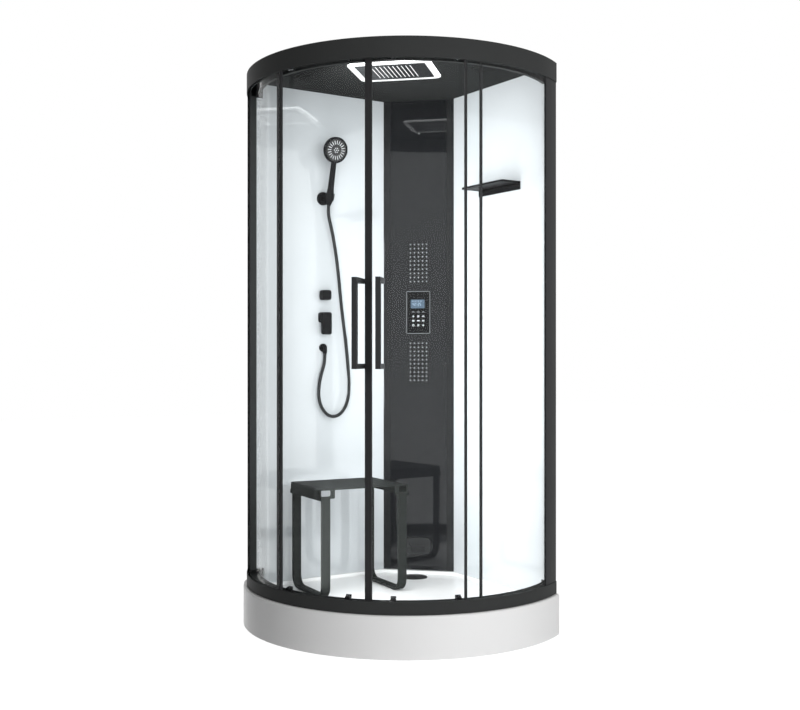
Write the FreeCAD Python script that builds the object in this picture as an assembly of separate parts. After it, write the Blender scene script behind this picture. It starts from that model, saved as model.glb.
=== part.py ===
import FreeCAD, Part
import math
import os
from FreeCAD import Matrix, Placement, Rotation, Vector

# Steam shower cabin for a room corner, in millimetres and degrees, +Z up.
# The wall corner is at x low, y high. The left wall runs along Y, the right wall along X.
# The glazed front is one arc; "phi" is the angle about the arc's centre, 0 on the diagonal
# of the corner and positive towards the right wall. In the corner, "s" runs along the
# column's face (positive to the right) and "t" is the distance from the wall corner.

# ------------------------------------------------------------------ plan
reach = 1000.0               # wall line to the far side of the bowed tray, both ways
frame_radius = 645.0         # outside of the curved rails
tray_overhang = 13.0         # tray apron beyond the rails
doorway_turn = -1.5          # middle of the opening between the fixed stiles, off the diagonal
door_turn = -0.6             # line where the closed doors meet, off the diagonal
wall_depth = 28.0            # wall line to the white wall face
wall_skin = 6.0
wall_rib = 18.0
wall_bays = 3
run_gap = 0.3                # gap between pieces that move past each other
seat_gap = 0.2               # gap of a piece pushed into its seat

# ------------------------------------------------------------------ heights
tray_height = 155.0
ledge_height = 138.0         # tray ledge that carries walls and column
floor_height = 125.0         # tray floor
bottom_rail_height = 46.5
cabin_height = 2204.0
fascia_height = 74.0
ceiling_height = 2187.0

# ------------------------------------------------------------------ tray and its frame
tray_skin = 6.0
kerb_width = 78.0
kerb_outer_round = 8.0
kerb_inner_round = 5.0
kerb_round_steps = 4
kerb_wall = 8.0              # kerb inner face to the hollow under it
service_height = 80.0        # openings for pipes along the wall sides
service_reach = 300.0        # those openings' ends, from the footprint's middle
ledge_width = 40.0
column_ledge = 215.0         # corner to the front of the ledge under the column
basin_corner_radius = 40.0
basin_cove_radius = 10.0
drain_distance = 286.0       # wall corner to drain
drain_hole_radius = 45.0
drain_cover_radius = 55.0
drain_cover_thickness = 5.0
frame_tube = 30.0
frame_inset = 18.0           # wall line to the frame's side tubes
frame_end_inset = 59.0       # apron's wall end to the side tubes' ends
front_foot_inset = 72.0      # apron to the front foot
side_foot_inset = 120.0      # apron to the two feet beside it
foot_pad_radius = 25.0
foot_rod_radius = 6.0
foot_stand = 20.0            # a foot's middle, from the end of its tube
trap_radius = 42.0
trap_collar_length = 50.0    # drain's middle to the end of the spigot's collar
waste_spigot_radius = 20.0
waste_spigot_length = 70.0
waste_spigot_height = 55.0

# ------------------------------------------------------------------ rails and glass
rail_depth = 57.0            # radial depth of the bottom rail
rail_web = 4.0
rail_skin = 3.0
glass_thickness = 6.0
fixed_glass_inset = 5.0      # frame radius to the fixed glass's outer face
door_glass_inset = 32.0      # frame radius to the door glass's outer face
stile_inset = 3.0            # frame radius to the stiles' outer faces
fixed_stile_angle = 32.75    # middle of the opening to the stile's leading edge
fixed_stile_width = 8.0
stile_depth = 10.0
end_stile_width = 48.0
channel_face = 47.0          # wall line to the wall channel's inner face
channel_length = 40.0        # along the wall
door_end_angle = 39.4        # meeting line to the door's trailing edge
door_stile_width = 12.0
door_stile_depth = 14.0
tail_stile_width = 8.0
tail_stile_depth = 10.0
glass_bite = 5.0             # glass edge inside its profile
groove_floor = 15.0          # bottom rail's underside to the fixed glass's edge
groove_ceiling = 37.0        # fascia's lower edge to the top of its glass groove
door_foot_height = 192.0
door_top_height = 2160.0

# ------------------------------------------------------------------ rollers and handles
outer_roller_angle = 31.5    # from the middle of the opening
inner_roller_angle = 7.8     # from the diagonal
wheel_radius = 11.0
wheel_width = 7.4
wheel_bore_gap = 0.05
axle_radius = 4.0
bolt_head_radius = 10.0
bush_radius = 7.0
bolt_head_thickness = 4.5
hook_radius = 10.0
hook_hole_radius = 4.5
hook_height = 204.0
hook_cheek = 6.0
hook_deck_gap = 1.0          # hook's foot above the bottom rail's deck
handle_angle = 3.42
handle_turn = 0.72           # middle of the two handles, off the diagonal
handle_bar = 18.5
handle_reach = 85.0          # door glass to the back of the grip
handle_cap_radius = 8.0
handle_cap_depth = 4.0
handle_foot = 1026.0
handle_top = 1348.0

# ------------------------------------------------------------------ corner column
column_face = 194.5          # wall corner to the column's glass face
column_half_width = 125.0
column_profile_depth = 16.0
panel_width = 106.0
panel_height = 186.0
panel_thickness = 6.0
panel_centre = 1262.0
display_width = 62.0
display_height = 38.0
display_centre = 1299.0
display_offset = -3.0
jet_pitch = 18.0
jet_columns = 5
jet_rows = 10
jet_radius = 3.4
upper_jets_centre = 1478.0
lower_jets_centre = 1047.0
side_jet_offset = 117.0
side_jet_radius = 6.0
upper_side_jet = 1299.0
lower_side_jet = 1040.0
steam_width = 112.0
steam_height = 72.0
steam_depth = 14.0
steam_centre = 245.0
generator_width = 110.0
generator_depth = 66.0
generator_foot = 330.0
generator_top = 640.0
control_rail = 1120.0
jet_rail = 1400.0
column_post = 16.0

# ------------------------------------------------------------------ ceiling
led_width = 325.0
led_length = 268.0
led_band = 24.0
led_thickness = 6.0
led_corner_radius = 30.0
led_distance = 717.0
led_offset = 8.0
rain_slots = 10
rain_slot_pitch = 17.0
rain_slot_length = 170.0
rain_slot_width = 4.0
roof_skin = 5.0
vent_radius = 54.0
vent_distance = 673.0
vent_offset = 355.0
vent_thickness = 5.0

# ------------------------------------------------------------------ fittings on the left wall
tap_line = -55.0             # the fittings' common line
holder_drop = 448.0          # ceiling to the holder's cup
holder_reach = 62.0
handset_tilt = 14.0
handset_bore = 14.0
handset_length = 196.0       # holder cup to the middle of the head
handset_head_radius = 54.0
handset_head_thickness = 16.0
handset_face_radius = 46.0
handset_tail = 34.0          # cup's middle to the hose's start
knob_size = 42.0
knob_corner = 10.0
knob_depth = 30.0
diverter_height = 1329.5
mixer_height = 1235.5
mixer_body_depth = 20.0
cartridge_depth = 6.5
inlet_radius = 8.2
inlet_length = 11.0
inlet_spacing = 29.0
inlet_offset = -12.0         # from the mixer's middle, upwards
valve_plate_width = 52.0
valve_plate_depth = 9.0
valve_plate_margin = 30.0    # beyond the two controls' middles
valve_gap = 1.0              # valve plate to the back of the wall's skin
lever_width = 46.0
lever_length = 94.0
lever_thickness = 14.0
lever_pivot_radius = 3.0     # rounding of the lever's upper back edge, about its hinge axis
outlet_height = 1107.0
outlet_tail_radius = 10.0
outlet_drop = 24.0           # elbow's middle to the hose's end
hose_diameter = 14.0

# ------------------------------------------------------------------ shelf and stool
shelf_start = -68.0
shelf_end = 203.0
shelf_depth = 95.0
shelf_thickness = 8.0
shelf_top = 1770.0
shelf_flange = 24.0
stool_x = -237.0
stool_y = -63.5
stool_turn = -5.0
stool_half_length = 194.0
stool_half_depth = 154.0
stool_top = 556.0
stool_plate = 5.0
stool_end = 8.0              # thickness of the seat's two ends
stool_apron = 45.0
stool_bend_radius = 12.0
stool_bracket = 62.0         # corner bracket, along the seat's edge
stool_bracket_drop = 38.0
stool_bracket_skin = 4.0
leg_width = 36.0
leg_thickness = 10.0
leg_bend_radius = 50.0
pad_thickness = 3.0
pad_length = 24.0
hand_slot_length = 44.0      # from the seat's end
hand_slot_height = 24.0
hand_slot_round = 6.0

# ------------------------------------------------------------------ worked out from the above
wall_x = -reach / 2.0
wall_y = reach / 2.0
arc_inset = reach - tray_overhang - frame_radius
centre_x = wall_x + arc_inset
centre_y = wall_y - arc_inset
tray_radius = frame_radius + tray_overhang
centre_distance = arc_inset * math.sqrt(2)
wall_end = math.sqrt(frame_radius**2 - arc_inset**2)
wall_end_angle = 45.0 + math.degrees(math.asin(arc_inset / frame_radius))
arc_end = wall_end_angle + 3.0
rail_top = tray_height + bottom_rail_height
fascia_foot = cabin_height - fascia_height
left_face = wall_x + wall_depth
right_face = wall_y - wall_depth
corner = Vector(wall_x, wall_y, 0)
fixed_outer = frame_radius - fixed_glass_inset
fixed_inner = fixed_outer - glass_thickness
door_outer = frame_radius - door_glass_inset
door_inner = door_outer - glass_thickness
track_radius = frame_radius - 60.0
ledge_edge = track_radius + 13.0
ledge_top = fascia_foot + rail_skin
wheel_height = ledge_top + run_gap + wheel_radius
wheel_start = track_radius + 4.4
deck_height = tray_height + 30.0
stile_face = frame_radius - stile_inset
end_stile_end = 45.0 + math.degrees(math.asin((arc_inset - channel_face) / stile_face))
end_stile_start = end_stile_end - math.degrees(end_stile_width / stile_face)
channel_end = math.sqrt(stile_face**2 - (arc_inset - channel_face) ** 2)
channel_start = channel_end - channel_length
holder_height = ceiling_height - holder_drop
tall = cabin_height + 100.0


# ------------------------------------------------------------------ helpers
def point(phi, radius, z):
    """A point of the front arc."""
    angle = math.radians(phi - 45.0)
    return Vector(centre_x + radius * math.cos(angle), centre_y + radius * math.sin(angle), z)


def span(length, radius):
    """The angle that a length takes on the arc."""
    return math.degrees(length / radius)


def ring(outline, start, end):
    """Turns a closed outline of (radius, height) points about the arc's axis."""
    low, high = min(start, end), max(start, end)
    corners = [point(low, r, z) for r, z in outline]
    face = Part.Face(Part.makePolygon(corners + corners[:1]))
    return face.revolve(Vector(centre_x, centre_y, 0), Vector(0, 0, 1), high - low)


def band(inner, outer, foot, top, start, end):
    """A curved slab."""
    return ring([(inner, foot), (outer, foot), (outer, top), (inner, top)], start, end)


def quadrant(radius, gap, foot, top):
    """The plan of the cabin: two straight sides and the arc."""
    left, back = wall_x + gap, wall_y - gap
    right_end = Vector(centre_x + math.sqrt(radius**2 - (back - centre_y) ** 2), back, foot)
    left_end = Vector(left, centre_y - math.sqrt(radius**2 - (left - centre_x) ** 2), foot)
    inside = Vector(left, back, foot)
    edges = [
        Part.makeLine(inside, right_end),
        Part.Arc(right_end, point(0, radius, foot), left_end).toShape(),
        Part.makeLine(left_end, inside),
    ]
    return Part.Face(Part.Wire(edges)).extrude(Vector(0, 0, top - foot))


def block(x0, x1, y0, y1, z0, z1):
    return Part.makeBox(x1 - x0, y1 - y0, z1 - z0, Vector(x0, y0, z0))


def corner_block(s0, s1, t0, t1, z0, z1):
    """A box square to the column."""
    shape = Part.makeBox(s1 - s0, t1 - t0, z1 - z0, Vector(s0, -t1, z0))
    shape.Placement = Placement(corner, Rotation(Vector(0, 0, 1), 45.0)).multiply(shape.Placement)
    return shape


def corner_point(s, t, z):
    across = Vector(1, 1, 0) * (s / math.sqrt(2))
    out = Vector(1, -1, 0) * (t / math.sqrt(2))
    return corner + across + out + Vector(0, 0, z)


def aim(shape, origin, x_axis, y_axis, z_axis):
    """Puts a shape made at the origin where its axes point along the given ones."""
    m = Matrix(
        x_axis.x, y_axis.x, z_axis.x, origin.x,
        x_axis.y, y_axis.y, z_axis.y, origin.y,
        x_axis.z, y_axis.z, z_axis.z, origin.z,
        0, 0, 0, 1,
    )
    placed = shape.copy()
    placed.Placement = Placement(m).multiply(placed.Placement)
    return placed


def on_column(shape, s, t, z):
    """Local X along the column's face, Y up, Z into the cabin."""
    root = math.sqrt(0.5)
    out = Vector(root, -root, 0)
    return aim(shape, corner_point(s, t, z), Vector(root, root, 0), Vector(0, 0, 1), out)


def on_left_wall(shape, y, z, x=None):
    """Local X along +Y, Y up, Z into the cabin."""
    out = left_face if x is None else x
    return aim(shape, Vector(out, y, z), Vector(0, 1, 0), Vector(0, 0, 1), Vector(1, 0, 0))


def on_arc(shape, phi, radius, z):
    """Local X along the arc, Y up, Z outward."""
    angle = math.radians(phi - 45.0)
    outward = Vector(math.cos(angle), math.sin(angle), 0)
    along = Vector(-outward.y, outward.x, 0)
    return aim(shape, point(phi, radius, z), along, Vector(0, 0, 1), outward)


def rounded_plate(width, height, thickness, radius):
    """A plate about the origin, its face in XY, with rounded corners."""
    w, h = width / 2.0 - radius, height / 2.0 - radius
    quarter = radius * math.sqrt(0.5)
    edges = []
    for sx, sy, turn in ((1, 1, 0), (-1, 1, 1), (-1, -1, 2), (1, -1, 3)):
        a = math.radians(90.0 * turn)
        cx, cy = sx * w, sy * h
        first = Vector(cx + radius * math.cos(a), cy + radius * math.sin(a), 0)
        last = Vector(cx - radius * math.sin(a), cy + radius * math.cos(a), 0)
        middle = Vector(cx + sx * quarter, cy + sy * quarter, 0)
        edges.append((first, middle, last))
    wire = []
    for i, (first, middle, last) in enumerate(edges):
        wire.append(Part.Arc(first, middle, last).toShape())
        wire.append(Part.makeLine(last, edges[(i + 1) % 4][0]))
    return Part.Face(Part.Wire(wire)).extrude(Vector(0, 0, thickness))


def cylinder(radius, low, high):
    return Part.makeCylinder(radius, high - low, Vector(0, 0, low))


def cone(radius_low, radius_high, low, high):
    return Part.makeCone(radius_low, radius_high, high - low, Vector(0, 0, low))


def prism(sides, radius, low, high):
    """A regular prism along Z."""
    step = 2.0 * math.pi / sides
    corners = []
    for i in range(sides):
        corners.append(Vector(radius * math.cos(i * step), radius * math.sin(i * step), low))
    face = Part.Face(Part.makePolygon(corners + corners[:1]))
    return face.extrude(Vector(0, 0, high - low))


def fuse(*shapes):
    return shapes[0].fuse(list(shapes[1:])).removeSplitter()


def mirror_side(shape):
    """Mirrors a right-hand piece to the left wall, across the diagonal."""
    return shape.mirror(corner, Vector(math.sqrt(0.5), math.sqrt(0.5), 0))


def save(name, *shapes):
    solids = [solid for shape in shapes for solid in shape.Solids]
    for solid in solids:
        if not solid.isValid() or solid.Volume < 1.0:
            raise ValueError(name + " has a bad solid")
    whole = solids[0] if len(solids) == 1 else Part.makeCompound(solids)
    whole.exportStep("parts/" + name + ".step")
    box = whole.BoundBox
    print("%-24s %3d solids %9.0f mm3  x %.1f %.1f y %.1f %.1f z %.1f %.1f" % (
        name, len(solids), sum(s.Volume for s in solids),
        box.XMin, box.XMax, box.YMin, box.YMax, box.ZMin, box.ZMax))


# ------------------------------------------------------------------ tray
def tray():
    body = quadrant(tray_radius, 0, 0, ledge_height)
    kerb_inner = tray_radius - kerb_width
    footprint = quadrant(tray_radius, 0, 0, tall)
    outline = [(kerb_inner, ledge_height - 1), (tray_radius, ledge_height - 1)]
    outline += rounded_corner(tray_radius - kerb_outer_round, kerb_outer_round, 0)
    outline += rounded_corner(kerb_inner + kerb_inner_round, kerb_inner_round, 90)
    kerb = ring(outline, -arc_end, arc_end)
    body = body.fuse(kerb.common(footprint))
    basin = quadrant(kerb_inner, ledge_width, floor_height, tray_height + 1)
    basin = basin.cut(corner_block(-reach, reach, -reach, column_ledge, 0, tall))
    upright = [e for e in basin.Edges if abs(e.tangentAt(e.FirstParameter).z) > 0.99]
    basin = basin.makeFillet(basin_corner_radius, upright)
    low = [e for e in basin.Edges if e.BoundBox.ZMax < floor_height + 0.01]
    basin = basin.makeFillet(basin_cove_radius, low)
    body = body.cut(basin)
    inside = tray_radius - tray_skin
    under = quadrant(inside, tray_skin, -1, floor_height - tray_skin)
    hollow_end = wall_end_angle - 7.0
    hollow = band(kerb_inner + kerb_wall, inside, 0, tray_height - tray_skin, -hollow_end, hollow_end)
    body = body.cut(under).cut(hollow)
    through = tray_skin + 1
    body = body.cut(block(wall_x - 1, wall_x + through, -service_reach, wall_y - 60, -1, service_height))
    body = body.cut(block(wall_x + 60, service_reach, wall_y - through, wall_y + 1, -1, service_height))
    drain = corner_point(0, drain_distance, 0)
    hole = Part.makeCylinder(drain_hole_radius, floor_height, drain)
    seat = drain + Vector(0, 0, floor_height - tray_skin / 2)
    recess = Part.makeCylinder(drain_cover_radius + 1.5, tray_skin, seat)
    body = body.cut(hole).cut(recess)
    save("shower_tray", body.removeSplitter())


def rounded_corner(radius, bend, start):
    """A quarter round at the kerb's top, as points of the outline it is turned from."""
    turns = [math.radians(start + 90 * step / kerb_round_steps) for step in range(kerb_round_steps + 1)]
    centre = tray_height - bend
    return [(radius + bend * math.cos(turn), centre + bend * math.sin(turn)) for turn in turns]


def drain_cover():
    seat = floor_height - tray_skin / 2 + run_gap
    at = corner_point(0, drain_distance, seat)
    disc = Part.makeCylinder(drain_cover_radius, drain_cover_thickness, at)
    disc = disc.makeFillet(2.0, [e for e in disc.Edges if e.BoundBox.ZMin > seat + 1])
    save("drain_cover", disc)


def tray_frame():
    """Square tubes under the tray: one along each wall, a cross, a spine and a bow."""
    top = floor_height - tray_skin
    foot = top - frame_tube
    half = frame_tube / 2
    side = wall_x + frame_inset
    back = wall_y - frame_inset
    tube_end = centre_x + math.sqrt(tray_radius**2 - arc_inset**2) - frame_end_inset
    left = block(side, side + frame_tube, -tube_end, back, foot, top)
    right = block(side, tube_end, back - frame_tube, back, foot, top)
    cross_half = centre_distance - 1.5 * frame_tube
    cross = tube_across(centre_distance, cross_half, foot, top)
    front_foot = centre_distance + tray_radius - front_foot_inset
    spine = corner_block(-half, half, centre_distance, front_foot + foot_stand, foot, top)
    side_foot = (tray_radius - side_foot_inset) * math.sqrt(0.5)
    bow_distance = centre_distance + side_foot
    bow = tube_across(bow_distance, side_foot + foot_stand, foot, top)
    save("tray_frame", fuse(left, right, cross, spine, bow))
    places = [
        Vector(side + half, back - half, 0),
        Vector(side + half, foot_stand - tube_end, 0),
        Vector(tube_end - foot_stand, back - half, 0),
        corner_point(0, centre_distance, 0),
        corner_point(0, front_foot, 0),
        corner_point(-side_foot, bow_distance, 0),
        corner_point(side_foot, bow_distance, 0),
    ]
    save("adjustable_feet", *[adjustable_foot(at, foot) for at in places])


def tube_across(distance, half_length, foot, top):
    """A frame tube square to the diagonal."""
    half = frame_tube / 2
    return corner_block(-half_length, half_length, distance - half, distance + half, foot, top)


def adjustable_foot(at, top):
    pad = Part.makeCone(foot_pad_radius, foot_pad_radius - 6, 8, at)
    rod = Part.makeCylinder(foot_rod_radius, top, at)
    nut = prism(6, 2 * foot_rod_radius, top - 10, top)
    nut.translate(at)
    return fuse(pad, rod, nut)


def waste_trap():
    centre = corner_point(0, drain_distance, 0)
    under = floor_height - tray_skin
    skin = 6.0
    base = 25.0
    body = Part.makeCylinder(trap_radius, under - base, centre + Vector(0, 0, base))
    flange = Part.makeCylinder(trap_radius + 10, skin, centre + Vector(0, 0, under - skin))
    throat = Part.makeCylinder(drain_hole_radius - 0.5, 2.5, centre + Vector(0, 0, under - 0.5))
    axis = Vector(-1, 0, 0)
    start = centre + Vector(0, 0, waste_spigot_height)
    spigot_end = trap_collar_length + waste_spigot_length
    collar = Part.makeCylinder(waste_spigot_radius + skin, trap_collar_length, start, axis)
    spigot = Part.makeCylinder(waste_spigot_radius, spigot_end, start, axis)
    trap = fuse(body, flange, throat, collar, spigot)
    well = Part.makeCylinder(trap_radius - skin, under - base, centre + Vector(0, 0, base + 10))
    bore = Part.makeCylinder(waste_spigot_radius - 2, spigot_end + 1, start, axis)
    save("waste_trap", trap.cut(well).cut(bore))


# ------------------------------------------------------------------ rails, glass and stiles
def bottom_rail():
    inner = frame_radius - rail_depth
    groove_outer = frame_radius - rail_web
    groove_inner = fixed_inner - 1
    fin = groove_inner - rail_skin
    lip = inner + 2.5
    deck = deck_height
    outline = [
        (frame_radius, tray_height), (frame_radius, rail_top), (groove_outer, rail_top),
        (groove_outer, tray_height + groove_floor), (groove_inner, tray_height + groove_floor),
        (groove_inner, rail_top), (fin, rail_top), (fin, deck), (lip, deck), (lip, deck + 12),
        (inner, deck + 12), (inner, tray_height), (lip, tray_height), (lip, deck - rail_skin),
        (fin, deck - rail_skin), (fin, tray_height),
    ]
    rail = ring(outline, -arc_end, arc_end).common(quadrant(tray_radius, 0, 0, tall))
    save("bottom_rail", rail)


def top_rail():
    groove_outer = frame_radius - rail_web
    groove_inner = fixed_inner - 1
    fin = groove_inner - rail_skin
    under = cabin_height - rail_skin
    track_wall = track_radius + 2.5
    outline = [
        (groove_outer, fascia_foot), (frame_radius, fascia_foot), (frame_radius, cabin_height),
        (track_radius, cabin_height), (track_radius, fascia_foot), (ledge_edge, fascia_foot),
        (ledge_edge, ledge_top), (track_wall, ledge_top), (track_wall, under), (fin, under),
        (fin, fascia_foot), (groove_inner, fascia_foot),
        (groove_inner, fascia_foot + groove_ceiling), (groove_outer, fascia_foot + groove_ceiling),
    ]
    rail = ring(outline, -arc_end, arc_end).common(quadrant(tray_radius, 0, 0, tall))
    save("top_rail", rail)


def fixed_panel(name, side):
    """Saves one fixed glass and returns its leading stile and its end stile."""
    edge = side * fixed_stile_angle + doorway_turn
    inset = side * span(fixed_stile_width - glass_bite, fixed_outer)
    slack = side * span(seat_gap, stile_face)
    glass_end = side * end_stile_end - side * span(end_stile_width / 2, fixed_outer)
    foot = tray_height + groove_floor
    top = fascia_foot + groove_ceiling
    glass = band(fixed_inner, fixed_outer, foot, top, edge + inset, glass_end)
    save(name + "_fixed_glass", glass)
    groove = (fixed_inner - seat_gap, fixed_outer + seat_gap, rail_top - 1, fascia_foot + 1)
    upright = (stile_face - stile_depth, stile_face, rail_top, fascia_foot)
    stile = band(*upright, edge, edge + side * span(fixed_stile_width, stile_face))
    stile = stile.cut(band(*groove, edge + inset - slack, edge + side * 3))
    post = band(*upright, side * end_stile_start, side * wall_end_angle)
    post = post.cut(band(*groove, side * (end_stile_start - 1), glass_end + slack))
    return stile, post


def wall_channel():
    """The right wall's black profile that closes the gap between end stile and wall panel."""
    inner = wall_y - channel_face
    start = centre_x + channel_start
    slab = block(start, centre_x + frame_radius, inner, wall_y, rail_top, fascia_foot)
    return slab.common(quadrant(stile_face, 0, 0, tall))


def fixed_front():
    channel = wall_channel()
    room = block(-reach, reach, -reach, wall_y - channel_face - run_gap, 0, tall)
    left_stile, left_post = fixed_panel("left", -1)
    right_stile, right_post = fixed_panel("right", 1)
    save("fixed_stiles", left_stile, right_stile)
    save("end_stiles", left_post.common(mirror_side(room)), right_post.common(room))
    save("wall_channels", mirror_side(channel), channel)


def door(name, side):
    trailing = side * door_end_angle + door_turn
    middle = door_outer - glass_thickness / 2
    meet = door_turn + side * span(run_gap / 2, middle)
    width = side * span(door_stile_width, middle)
    lead_edge = meet + side * span(door_stile_width - glass_bite, middle)
    tail_width = side * span(tail_stile_width, middle)
    tail_edge = trailing - side * span(tail_stile_width - glass_bite, middle)
    slack = side * span(seat_gap, middle)
    foot, top = door_foot_height, door_top_height
    glass = band(door_inner, door_outer, foot, top, lead_edge, tail_edge)
    rollers = [side * inner_roller_angle, side * outer_roller_angle + doorway_turn]
    grip_angle = side * handle_angle + handle_turn
    holes = [(phi, z) for phi in rollers for z in (wheel_height, hook_height)]
    holes += [(grip_angle, z) for z in (handle_top - handle_bar / 2, handle_foot + handle_bar / 2)]
    for phi, z in holes:
        glass = glass.cut(on_arc(cylinder(axle_radius + seat_gap, -20, 20), phi, middle, z))
    save(name + "_door_glass", glass)
    groove = (door_inner - seat_gap, door_outer + seat_gap, foot - 1, top + 1)
    half = door_stile_depth / 2
    lead = band(middle - half, middle + half, foot, top, meet, meet + width)
    lead = lead.cut(band(*groove, lead_edge - slack, meet + 2 * width))
    save(name + "_door_stile", lead)
    half = tail_stile_depth / 2
    tail = band(middle - half, middle + half, foot, top, trailing - tail_width, trailing)
    tail = tail.cut(band(*groove, trailing - 2 * tail_width, tail_edge + slack))
    save(name + "_door_tail_stile", tail)
    hangers = []
    for place, phi in zip(("_inner_wheel", "_outer_wheel"), rollers):
        hangers.append(roller_axle(phi))
        hangers.append(guide_hook(phi, side))
        save(name + place, on_arc(roller_wheel(), phi, 0, wheel_height))
    save(name + "_door_hangers", *hangers)
    save(name + "_handle", *handle(grip_angle))


def roller_axle(phi):
    """The silver bolt through the glass, its bush, its shank and its end cap."""
    head = cylinder(bolt_head_radius, door_outer + seat_gap, door_outer + bolt_head_thickness)
    shank = cylinder(axle_radius, wheel_start - 1, door_outer + 1)
    bush = cylinder(bush_radius, wheel_start + wheel_width + run_gap, door_inner - seat_gap)
    cap = cylinder(axle_radius + 1.5, wheel_start - 1.4, wheel_start - run_gap)
    return on_arc(fuse(head, shank, bush, cap), phi, 0, wheel_height)


def roller_wheel():
    end = wheel_start + wheel_width
    rim = cylinder(wheel_radius, wheel_start, end)
    return rim.cut(cylinder(axle_radius + wheel_bore_gap, wheel_start - 1, end + 1))


def guide_hook(phi, side):
    """A clip on the glass's lower edge: arched cheek outside, plain cheek inside, foot in the rail."""
    outside = door_outer + seat_gap
    inside = door_inner - seat_gap
    back = inside - hook_cheek
    foot_height = deck_height + hook_deck_gap
    drop = hook_height - foot_height
    arch = cylinder(hook_radius, outside, outside + hook_cheek)
    arch = arch.cut(cylinder(hook_hole_radius, outside - 1, outside + hook_cheek + 1))
    below = 4.0
    wide = 4 * hook_radius
    arch = arch.cut(Part.makeBox(wide, wide, wide, Vector(-wide / 2, -wide - below, outside - 10)))
    strip = hook_radius - hook_hole_radius
    leg_x = -side * (hook_radius - strip / 2) - strip / 2
    leg = Part.makeBox(strip, drop, hook_cheek, Vector(leg_x, -drop, outside))
    low = Vector(-hook_radius, -drop, back)
    rise = door_foot_height - foot_height - 1
    foot = Part.makeBox(2 * hook_radius, rise, outside + hook_cheek - back, low)
    inner = Part.makeBox(2 * hook_radius, drop + hook_radius, hook_cheek, low)
    pin = cylinder(axle_radius, inside - 1, outside + 2)
    bridge_x = -hook_radius if side > 0 else 0
    bridge = Part.makeBox(hook_radius, axle_radius * 2, 2, Vector(bridge_x, -axle_radius, outside))
    return on_arc(fuse(arch, leg, foot, inner, pin, bridge), phi, 0, hook_height)


def handle(phi):
    """A square D handle: grip and two standoffs outside, two screw caps inside."""
    start = door_outer + seat_gap
    grip_start = door_outer + handle_reach
    depth = grip_start + handle_bar - start
    half = handle_bar / 2
    length = handle_top - handle_foot
    grip = Part.makeBox(handle_bar, length, handle_bar, Vector(-half, handle_foot, grip_start))
    bar = fuse(
        grip,
        Part.makeBox(handle_bar, handle_bar, depth, Vector(-half, handle_top - handle_bar, start)),
        Part.makeBox(handle_bar, handle_bar, depth, Vector(-half, handle_foot, start)),
    )
    bar = bar.makeFillet(2.0, [e for e in bar.Edges if e.Length > length - 1])
    pieces = [bar]
    for z in (handle_top - half, handle_foot + half):
        cap = cylinder(handle_cap_radius, door_inner - handle_cap_depth, door_inner - seat_gap)
        screw = cylinder(axle_radius - 0.5, door_inner - 1.0, start - seat_gap / 2)
        fixing = fuse(cap, screw)
        fixing.translate(Vector(0, z, 0))
        pieces.append(fixing)
    return [on_arc(piece, phi, 0, 0) for piece in pieces]


# ------------------------------------------------------------------ walls and roof
def frame_clearance():
    """The space that the curved rails and the kerb take from the walls."""
    beyond = tray_radius + 40
    kerb_inner = tray_radius - kerb_width
    low = band(kerb_inner - run_gap, beyond, 0, rail_top + run_gap, -arc_end, arc_end)
    high = band(track_radius - run_gap, beyond, fascia_foot - run_gap, tall, -arc_end, arc_end)
    return low.fuse(high)


def wall(name, holes):
    """A white panel with a returned edge and ribs, open at the back."""
    start = wall_x + math.sqrt(2) * column_face - wall_depth - 20
    end = centre_x + channel_start - run_gap
    panel = block(start, end, right_face, wall_y, ledge_height, ceiling_height)
    panel = panel.cut(frame_clearance())
    first = start + wall_rib
    last = end - 3 * wall_rib
    width = (last - first - (wall_bays - 1) * wall_rib) / wall_bays
    foot, top = rail_top + wall_rib, fascia_foot - wall_rib
    for i in range(wall_bays):
        x = first + i * (width + wall_rib)
        panel = panel.cut(block(x, x + width, right_face + wall_skin, wall_y + 1, foot, top))
    if name == "left":
        panel = mirror_side(panel)
        for z, radius in holes:
            panel = panel.cut(on_left_wall(cylinder(radius, -wall_depth, 1), tap_line, z))
        panel = panel.cut(on_left_wall(valve_pocket(), tap_line, mixer_height))
    save(name + "_wall", panel)


def roof():
    under, top = ceiling_height, ceiling_height + roof_skin
    panel = quadrant(track_radius - run_gap, 0, under, top)
    rim = 2 * led_band + 40
    hole = rounded_plate(led_width - rim, led_length - rim, roof_skin + 2, 10)
    panel = panel.cut(on_ceiling(hole, led_offset, led_distance, under - 1))
    for s in (-vent_offset, vent_offset):
        vent = corner_point(s, vent_distance, under - 1)
        panel = panel.cut(Part.makeCylinder(vent_radius - 14, roof_skin + 2, vent))
    save("roof_panel", panel)


def on_ceiling(shape, s, t, z):
    """Local X along s, Z up."""
    root = math.sqrt(0.5)
    back = Vector(-root, root, 0)
    return aim(shape, corner_point(s, t, z), Vector(root, root, 0), back, Vector(0, 0, 1))


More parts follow.
